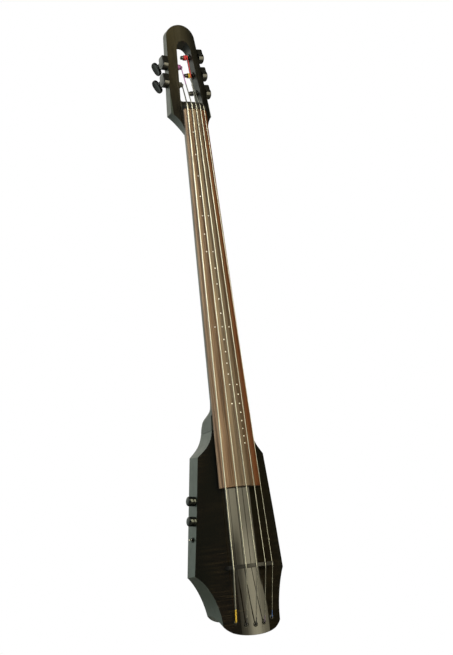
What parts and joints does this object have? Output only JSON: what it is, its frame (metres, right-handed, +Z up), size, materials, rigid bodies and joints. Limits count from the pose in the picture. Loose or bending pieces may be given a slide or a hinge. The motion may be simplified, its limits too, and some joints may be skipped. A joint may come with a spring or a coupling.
{
  "type": "electric upright bass",
  "caption": "Slim solid-body electric upright bass with a fretless arched fingerboard, slotted head, geared tuners, arched bridge and side controls.",
  "frame": {"origin": "centre of the outer face of the stand plate on the back of the body", "axes": "+Z up the neck along the strings, +Y out of the back of the instrument, +X towards the thin-string side"},
  "size_m": [0.2277, 0.1226, 1.4366],
  "materials": {
    "body_lacquer": "black see-through lacquer over figured maple, glossy",
    "neck_satin": "black satin paint over maple",
    "board_rosewood": "oiled rosewood, streaked, satin",
    "black_fittings": "gloss",
    "bridge_black": "ebonised, satin",
    "piezo_brass": "plain",
    "plain_steel": "brushed",
    "string_steel": "flat-wound, polished",
    "tuner_black": "gloss black",
    "bright_chrome": "polished",
    "black_chrome": "polished, dark",
    "cover_plastic": "matte"
  },
  "bodies": {
    "instrument": {"body": "body_lacquer", "neck_and_head": "neck_satin", "truss_rod": "plain_steel", "fingerboard": "board_rosewood", "nut": "black_fittings", "bridge": "bridge_black", "bridge_pickup_bass": "piezo_brass", "bridge_pickup_treble": "piezo_brass", "string_b": "string_steel", "string_e": "string_steel", "string_a": "string_steel", "string_d": "string_steel", "string_g": "string_steel", "tail_ferrule_b": "tuner_black", "tail_ferrule_e": "tuner_black", "tail_ferrule_a": "tuner_black", "tail_ferrule_d": "tuner_black", "tail_ferrule_g": "tuner_black", "tuner_housing_b": "tuner_black", "tuner_housing_e": "tuner_black", "tuner_housing_a": "tuner_black", "tuner_housing_d": "tuner_black", "tuner_housing_g": "tuner_black", "tuner_bushing_b": "tuner_black", "tuner_bushing_e": "tuner_black", "tuner_bushing_a": "tuner_black", "tuner_bushing_d": "tuner_black", "tuner_bushing_g": "tuner_black", "volume_pot": "plain_steel", "tone_pot": "plain_steel", "toggle_body": "bright_chrome", "control_cover": "cover_plastic", "output_jack": "bright_chrome", "cover_screw_1": "plain_steel", "cover_screw_2": "plain_steel", "cover_screw_3": "plain_steel", "cover_screw_4": "plain_steel", "stand_plate": "plain_steel", "plate_screw_1": "plain_steel", "plate_screw_2": "plain_steel", "plate_screw_3": "plain_steel", "plate_screw_4": "plain_steel"},
    "winder_b": {"tuner_worm_b": "plain_steel", "tuner_key_b": "tuner_black"},
    "post_b": {"tuner_post_b": "tuner_black"},
    "winder_e": {"tuner_worm_e": "plain_steel", "tuner_key_e": "tuner_black"},
    "post_e": {"tuner_post_e": "tuner_black"},
    "winder_a": {"tuner_worm_a": "plain_steel", "tuner_key_a": "tuner_black"},
    "post_a": {"tuner_post_a": "tuner_black"},
    "winder_d": {"tuner_worm_d": "plain_steel", "tuner_key_d": "tuner_black"},
    "post_d": {"tuner_post_d": "tuner_black"},
    "winder_g": {"tuner_worm_g": "plain_steel", "tuner_key_g": "tuner_black"},
    "post_g": {"tuner_post_g": "tuner_black"},
    "volume_control": {"volume_knob": "black_chrome"},
    "tone_control": {"tone_knob": "black_chrome"},
    "switch_lever": {"toggle_lever": "bright_chrome"}
  },
  "joints": [
    {"name": "tuner_key_b_turn", "type": "hinge", "parent": "instrument", "child": "winder_b", "pos_m": [-0.05305, -0.08078, 1.20146], "axis": [-0.0053, 0.9975, -0.071], "continuous": true},
    {"name": "tuner_post_b_turn", "type": "hinge", "parent": "instrument", "child": "post_b", "pos_m": [-0.04693, -0.0816, 1.1895], "axis": [-0.9972, 0, 0.0749], "continuous": true},
    {"name": "tuner_key_e_turn", "type": "hinge", "parent": "instrument", "child": "winder_e", "pos_m": [-0.04956, -0.08078, 1.24796], "axis": [-0.0053, 0.9975, -0.071], "continuous": true},
    {"name": "tuner_post_e_turn", "type": "hinge", "parent": "instrument", "child": "post_e", "pos_m": [-0.04344, -0.0816, 1.236], "axis": [-0.9972, 0, 0.0749], "continuous": true},
    {"name": "tuner_key_a_turn", "type": "hinge", "parent": "instrument", "child": "winder_a", "pos_m": [0.04749, -0.08078, 1.27546], "axis": [0.0053, 0.9975, -0.071], "continuous": true},
    {"name": "tuner_post_a_turn", "type": "hinge", "parent": "instrument", "child": "post_a", "pos_m": [0.04137, -0.0816, 1.2635], "axis": [0.9972, 0, 0.0749], "continuous": true},
    {"name": "tuner_key_d_turn", "type": "hinge", "parent": "instrument", "child": "winder_d", "pos_m": [0.05099, -0.08078, 1.22896], "axis": [0.0053, 0.9975, -0.071], "continuous": true},
    {"name": "tuner_post_d_turn", "type": "hinge", "parent": "instrument", "child": "post_d", "pos_m": [0.04486, -0.0816, 1.217], "axis": [0.9972, 0, 0.0749], "continuous": true},
    {"name": "tuner_key_g_turn", "type": "hinge", "parent": "instrument", "child": "winder_g", "pos_m": [0.05448, -0.08078, 1.18246], "axis": [0.0053, 0.9975, -0.071], "continuous": true},
    {"name": "tuner_post_g_turn", "type": "hinge", "parent": "instrument", "child": "post_g", "pos_m": [0.04836, -0.0816, 1.1705], "axis": [0.9972, 0, 0.0749], "continuous": true},
    {"name": "volume_knob_turn", "type": "hinge", "parent": "instrument", "child": "volume_control", "pos_m": [-0.09336, -0.0511, 0.2015], "axis": [-0.994, 0, 0.1091], "range_deg": [-150, 150]},
    {"name": "tone_knob_turn", "type": "hinge", "parent": "instrument", "child": "tone_control", "pos_m": [-0.09813, -0.0511, 0.158], "axis": [-0.994, 0, 0.1091], "range_deg": [-150, 150]},
    {"name": "toggle_throw", "type": "hinge", "parent": "instrument", "child": "switch_lever", "pos_m": [-0.10426, -0.0376, 0.12042], "axis": [0, 1, 0], "range_deg": [-12, 12]}
  ],
  "couplings": [
    {"joint": "tuner_post_b_turn", "follows": "tuner_key_b_turn", "ratio": -0.05},
    {"joint": "tuner_post_e_turn", "follows": "tuner_key_e_turn", "ratio": -0.05},
    {"joint": "tuner_post_a_turn", "follows": "tuner_key_a_turn", "ratio": 0.05},
    {"joint": "tuner_post_d_turn", "follows": "tuner_key_d_turn", "ratio": 0.05},
    {"joint": "tuner_post_g_turn", "follows": "tuner_key_g_turn", "ratio": 0.05}
  ]
}
